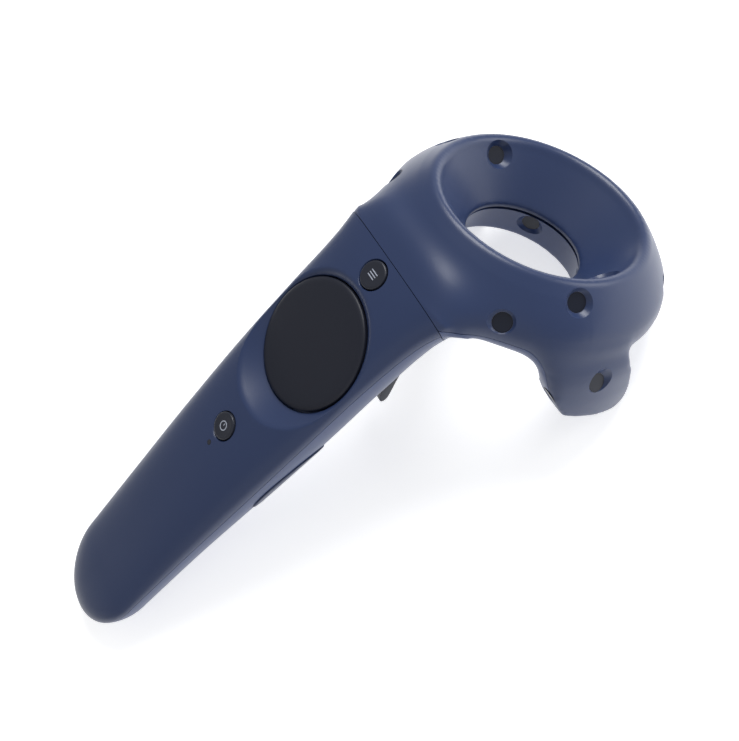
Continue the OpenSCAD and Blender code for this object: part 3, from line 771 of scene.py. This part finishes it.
def head_bulk():
    """Ring, neck, web and lobes melted into one skin and softened where they meet."""
    solid = joined(ring_solid(), neck_solid(), web_solid(), lobe_solid(1), lobe_solid(-1))
    obj = as_object(solid, "head_bulk")
    melt = obj.modifiers.new("melt", "REMESH")
    melt.mode = "VOXEL"
    melt.voxel_size = 0.55
    melt.adaptivity = 0
    bm = baked(obj)
    k = 3
    soften(bm, bm.verts[:], 2 * k)
    for low, high, near, passes in ((-26, -4.5, -14, 40), (-28, -3.6, -11, 26), (-30, -3.0, -8, 12)):
        shoulder = []
        for v in bm.verts:
            p = FROM_RING @ v.co
            if v.co.y > 34.5 and p.y < near and math.hypot(p.x, p.y) > 35.6 and low < p.z < high:
                shoulder.append(v)
        soften(bm, shoulder, passes * k)
    lobes = []
    for v in bm.verts:
        p = FROM_RING @ v.co
        if abs(p.x) > 38 and -24 < p.z < -12 and abs(p.y) < 34:
            lobes.append(v)
    soften(bm, lobes, 10 * k)
    soften(bm, [v for v in bm.verts if abs((FROM_RING @ v.co).x) > 38 and (FROM_RING @ v.co).z < -22], 2 * k)
    return bm


# Sensor windows in the ring frame: X, Y, Z, then azimuth and elevation of the way they face
SPOTS_UPPER = [
    (36, -11, -3.5, -17, 42), (31.6, -31.2, -11.4, -44.6, 30), (30, 33, -11.4, 47.7, 30),
    (13.6, 42, -11.4, 72, 30), (28.7, 4.5, -4, 189, 42), (49.6, -1.4, -25, 0, 30),
]
SPOTS_LOWER = [
    (13.4, 15.3, -21.5, 229, -14), (45, -14.3, -32.6, -90, -40), (42, 1, -31, 180, -3),
    (18.6, 32.2, -24.6, 60, -60),
]


def dimples(spots, radius):
    """Shallow cones with flat floors, on both sides."""
    parts = []
    for x, v, w, azimuth, elevation in spots:
        place = Matrix.Translation((x, v, w)) @ Matrix.Rotation(math.radians(azimuth), 4, "Z") \
            @ Matrix.Rotation(math.radians(90 - elevation), 4, "Y")
        for side in (1, -1):
            cone = turned([
                (0, -1.5), (radius + 0.05, -1.5), (radius + 0.05, -1.15), (radius + 0.35, -0.95),
                (radius + 3.2, 2.6), (0, 2.6),
            ], 56)
            moved(cone, RING @ place)
            if side < 0:
                moved(cone, Matrix.Scale(-1, 4, (1, 0, 0)))
            parts.append(cone)
    return joined(*parts)


def parting_solid(grow):
    """The space of the lower head shell."""
    low = PARTING + grow
    profile = [
        (0, -80), (48.2 + grow, -80), (48.2 + grow, -37), (47.9 + grow, -29), (46.5 + grow, -22),
        (45.0 + grow, low), (0, low),
    ]
    return moved(turned(profile, 160), RING)


def under_neck(grow):
    """The part of the lower shell's space that runs under the neck."""
    return moved(brick((-60, -90, -90), (60, -28, PARTING + grow - 0.03)), RING)


def build_head():
    s = sizes()
    gap = s.seam / 2
    bulk = head_bulk()
    line = [(y + gap, z) for y, z in JOINT_LINE]
    front = along_x(line + [(line[-1][0], -120), (160, -120), (160, 60), (line[0][0], 60)], -90, 90)
    bulk = cut(bulk, [front], "INTERSECT")
    groove = moved(band([(17.6, -16.3), (19.9, -16.3), (19.9, -18.4), (17.6, -18.4)], 160), RING)
    upper = cut(bulk.copy(), [
        dimples(SPOTS_UPPER, s.window_radius), groove, parting_solid(gap), under_neck(gap)])
    finish(upper, "head_upper", "housing", ["head_upper_shell"], "upper_shell")
    zone = cut(parting_solid(-gap), [under_neck(-gap)], "UNION")
    bores = [
        moved(turned([(0, -60), (SCREW_BORE, -60), (SCREW_BORE, -20), (0, -20)], 40),
              Matrix.Translation((x, v, 0)), RING)
        for x, v in HEAD_SCREWS
    ]
    lower = cut(cut(bulk, [zone], "INTERSECT"), [dimples(SPOTS_LOWER, s.window_radius)] + bores)
    finish(lower, "head_lower", "housing", ["head_lower_shell"], "lower_shell")


# ---------------------------------------------------------------- moving pieces


def build_trackpad():
    r = sizes().pad_radius
    pad = turned([
        (0, -2.2), (r - 0.3, -2.2), (r, -1.9), (r, -0.1), (r - 0.06, 0.14), (r - 0.25, 0.36),
        (r - 0.55, 0.52), (r - 1.0, 0.66), (r - 1.35, 0.74), (r - 2.0, 0.8), (r * 0.6, 0.84), (0, 0.86),
    ], 160)
    finish(pad, "trackpad", "trackpad_part", ["trackpad_cap"], "trackpad_black", 50)


def round_button(radius):
    """A button with a stem below and a slightly dished top."""
    return turned([
        (0, -3.4), (1.5, -3.4), (1.5, -2.2), (radius, -2.2), (radius, 0.12), (radius - 0.08, 0.32),
        (radius - 0.28, 0.47), (radius - 0.6, 0.52), (radius - 1.1, 0.46), (radius * 0.4, 0.38), (0, 0.36),
    ], 80)


def build_buttons():
    r = sizes().button_radius
    bars = joined(*[brick((-1.5, y - 0.15, 0.3), (1.5, y + 0.15, 0.43), 0.04) for y in (-0.85, 0.0, 0.85)])
    circle = joined(band([(1.25, 0.3), (1.55, 0.3), (1.55, 0.43), (1.25, 0.43)], 48),
                    brick((-0.15, 0.1, 0.3), (0.15, 0.85, 0.425), 0.03))
    for word, place in (("menu", AT_MENU), ("system", AT_SYSTEM)):
        key = moved(round_button(r), place)
        finish(key, f"{word}_key", f"{word}_part", [f"{word}_button"], "button_grey", 50)
    for word, place, mark in (("menu", AT_MENU, bars), ("system", AT_SYSTEM, circle)):
        finish(moved(mark, place), f"{word}_mark", f"{word}_part", [], "button_mark")


def build_grips():
    for side, word in ((1, "right"), (-1, "left")):
        finish(grip_piece(side), f"grip_key_{word}", f"grip_{word}_part", [f"grip_button_{word}"],
               "grip_plastic", 50)


# Trigger blade seen from the side, and the middle of its pin: Y and Z
BLADE = [
    (24.5, -17.0), (26.2, -21.6), (26.0, -25.2), (23.0, -28.2), (16, -30.7), (8, -32.9), (0, -35.3),
    (-5.2, -37.4), (-8.6, -38.6), (-10.4, -38.3), (-10.8, -37.2), (-9.6, -35.6), (-4.6, -32.6),
    (3, -29.4), (9.6, -26.2), (14.2, -22.4), (15.8, -18.0),
]
PIVOT = (20, -18)


def round_pivot(radius, angles):
    """Points of a circle round the trigger's pin."""
    return [(PIVOT[0] + radius * math.cos(math.radians(a)), PIVOT[1] + radius * math.sin(math.radians(a)))
            for a in angles]


def build_trigger():
    half = 7.5
    outline = curve_through(BLADE, 5)
    hub = round_pivot(4, range(10, 171, 10))
    blade = along_x(outline[:-1] + [BLADE[-1]] + hub[::-1], -half, half, 1.3, 4)
    bore = along_x(round_pivot(1.55, range(0, 360, 10)), -9, 9)
    blade = cut(blade, [bore, brick((-2.8, 16.0, -21.3), (2.8, 24.0, -10))])
    finish(blade, "trigger_blade", "trigger_part", ["trigger"], "trigger_plastic", 40)


# ---------------------------------------------------------------- inner pieces and stage


def build_inner():
    """Gives every node that is still shown its own finish."""
    slots = {entry["node"]: entry["material_slot"] for entry in frame["record"]["subparts"]}
    for name, obj in frame["nodes"].items():
        obj.data.materials.clear()
        obj.data.materials.append(FINISHES[slots[name]])


def area_light(name, place, target, size, power, shade=(1, 1, 1)):
    light = bpy.data.lights.new(name, "AREA")
    light.shape = "DISK"
    light.size = size
    light.energy = power
    light.color = shade
    obj = bpy.data.objects.new(name, light)
    obj.location = place
    obj.rotation_euler = (Vector(target) - Vector(place)).to_track_quat("-Z", "Y").to_euler()
    bpy.context.scene.collection.objects.link(obj)


def build_stage():
    scene = bpy.context.scene
    scene.view_settings.view_transform = "Standard"
    bm = bmesh.new()
    bmesh.ops.create_grid(bm, x_segments=2, y_segments=2, size=4)
    floor = as_object(bm, "floor")
    mat = Recipe("white_floor")
    mat.set("Base Color", (0.85, 0.85, 0.85, 1))
    mat.set("Roughness", 0.9)
    mat.set("Emission Color", (1, 1, 1, 1))
    mat.set("Emission Strength", 0.62)
    floor.data.materials.append(mat.material)

    world = bpy.data.worlds.new("studio") if scene.world is None else scene.world
    scene.world = world
    world.use_nodes = True
    back = world.node_tree.nodes["Background"]
    back.inputs["Color"].default_value = (0.97, 0.98, 1.0, 1)
    back.inputs["Strength"].default_value = 0.38

    area_light("key", (-0.33, 0.62, 0.8), (0, 0, 0.03), 0.6, 8.5)
    area_light("fill", (0.75, -0.55, 0.6), (0, 0, 0.03), 1.6, 1.6)
    area_light("rim", (0.3, 0.95, 0.3), (0, 0.05, 0.04), 0.5, 2.5)

    place_camera(scene)


# Camera in the wand frame: its place, then its right, up and backward directions
CAMERA_AT = (163.5, 119.9, 211.5)
CAMERA_AXES = [(0.4596, 0.6249, -0.6311), (-0.7247, 0.6746, 0.1402), (0.5133, 0.3929, 0.7630)]
SENSOR_WIDTH = 36
# Focal length as a share of the sensor's width
FOCAL_SHARE = 1.35318


def place_camera(scene):
    turn = SEAT.to_3x3().normalized()
    axes = [(turn @ Vector(axis)).normalized() for axis in CAMERA_AXES]
    lens = bpy.data.cameras.new("camera")
    lens.sensor_fit = "HORIZONTAL"
    lens.sensor_width = SENSOR_WIDTH
    lens.lens = SENSOR_WIDTH * FOCAL_SHARE
    lens.clip_start = 0.01
    cam = bpy.data.objects.new("camera", lens)
    cam.matrix_world = Matrix.Translation(SEAT @ Vector(CAMERA_AT)) @ Matrix(axes).transposed().to_4x4()
    scene.collection.objects.link(cam)
    scene.camera = cam


# ---------------------------------------------------------------- add-on


def operator(name, label, doc, build):
    def execute(self, context):
        build()
        return {"FINISHED"}

    return type("CONTROLLER_OT_" + name, (bpy.types.Operator,), {
        "bl_idname": "controller." + name, "bl_label": label, "__doc__": doc, "execute": execute})


def make_finishes():
    FINISHES.update(materials(bpy.context.scene.controller_colours))


STEPS = [
    operator("finishes", "Finishes", "Make every plastic and metal finish", make_finishes),
    operator("handle", "Handle shells", "Build the upper and lower handle shells", build_handle),
    operator("head", "Head shells", "Build the ring and lobes", build_head),
    operator("trackpad", "Trackpad", "Build the round trackpad", build_trackpad),
    operator("buttons", "Round buttons", "Build the menu and system buttons", build_buttons),
    operator("grips", "Grip buttons", "Build both side grip buttons", build_grips),
    operator("trigger", "Trigger", "Build the trigger blade", build_trigger),
    operator("inner", "Inner pieces", "Give the inner pieces their finishes", build_inner),
    operator("stage", "Stage", "Set the floor, the lights and the camera", build_stage),
]


class CONTROLLER_PT_panel(bpy.types.Panel):
    """Lists the controller's sizes, colours and steps"""

    bl_label = "VR Motion Controller"
    bl_idname = "CONTROLLER_PT_panel"
    bl_space_type = "VIEW_3D"
    bl_region_type = "UI"
    bl_category = "Controller"

    def draw(self, context):
        for group in (context.scene.controller_sizes, context.scene.controller_colours):
            for prop in group.bl_rna.properties:
                if prop.identifier not in ("rna_type", "name"):
                    self.layout.prop(group, prop.identifier)
        for step in STEPS:
            self.layout.operator(step.bl_idname)


CLASSES = [ControllerSizes, ControllerColours, *STEPS, CONTROLLER_PT_panel]


def register():
    for cls in CLASSES:
        bpy.utils.register_class(cls)
    bpy.types.Scene.controller_sizes = bpy.props.PointerProperty(type=ControllerSizes)
    bpy.types.Scene.controller_colours = bpy.props.PointerProperty(type=ControllerColours)


def unregister():
    del bpy.types.Scene.controller_colours
    del bpy.types.Scene.controller_sizes
    for cls in reversed(CLASSES):
        bpy.utils.unregister_class(cls)


def main():
    register()
    for step in STEPS:
        group, name = step.bl_idname.split(".")
        getattr(getattr(bpy.ops, group), name)()


if __name__ == "__main__":
    main()
